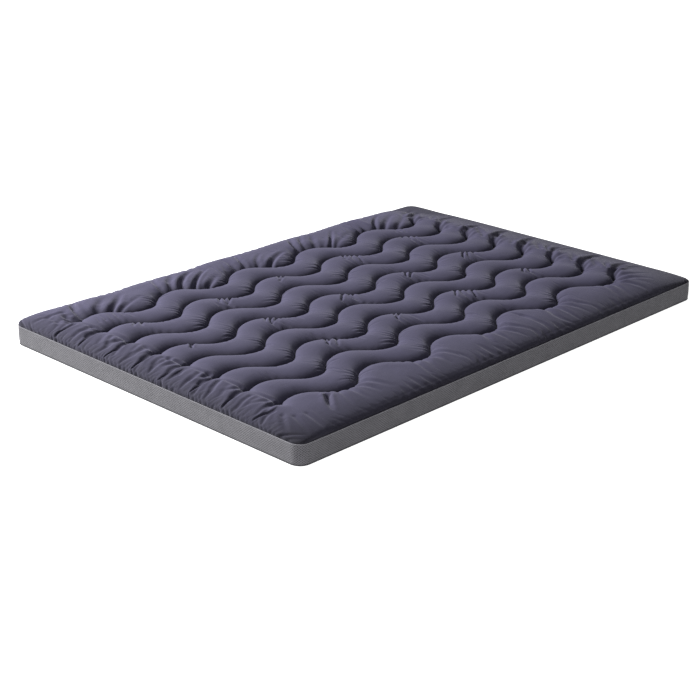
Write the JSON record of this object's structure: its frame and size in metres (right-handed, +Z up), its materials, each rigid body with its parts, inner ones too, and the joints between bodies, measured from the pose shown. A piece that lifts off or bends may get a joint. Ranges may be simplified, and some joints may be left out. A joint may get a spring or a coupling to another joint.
{
  "type": "futon mattress",
  "caption": "Low rectangular futon mattress with rounded corners, a puffy top panel quilted in wavy rows, a plain mesh border all round and a flat underside.",
  "frame": {"origin": "centre of the underside, so the mattress lies on the plane z = 0", "axes": "+X along the length, +Y across the width, +Z up through the quilted top"},
  "size_m": [2, 1.4, 0.1],
  "materials": {
    "base_fabric": "matte plain weave",
    "fibre_fill": "matte loose fibre",
    "support_foam": "matte open-cell foam",
    "comfort_foam": "matte open-cell foam",
    "border_mesh": "matte knitted spacer mesh",
    "nonwoven": "matte non-woven",
    "seam_thread": "twisted polyester, slight lustre",
    "quilt_fabric": "brushed microfibre with a soft sheen",
    "quilting_thread": "twisted polyester, slight lustre"
  },
  "bodies": {
    "root": {"base_panel": "base_fabric", "base_fibre_pad": "fibre_fill", "support_foam": "support_foam", "comfort_foam": "comfort_foam", "upper_fibre_pad": "fibre_fill", "border_band": "border_mesh", "border_lining": "nonwoven", "border_join_stitches": "seam_thread", "top_seam_thread": "seam_thread", "bottom_seam_thread": "seam_thread", "quilt_backing": "nonwoven", "quilt_wadding": "fibre_fill", "top_cover": "quilt_fabric", "needle_thread_rows": "quilting_thread", "bobbin_thread_rows": "quilting_thread"}
  },
  "joints": []
}
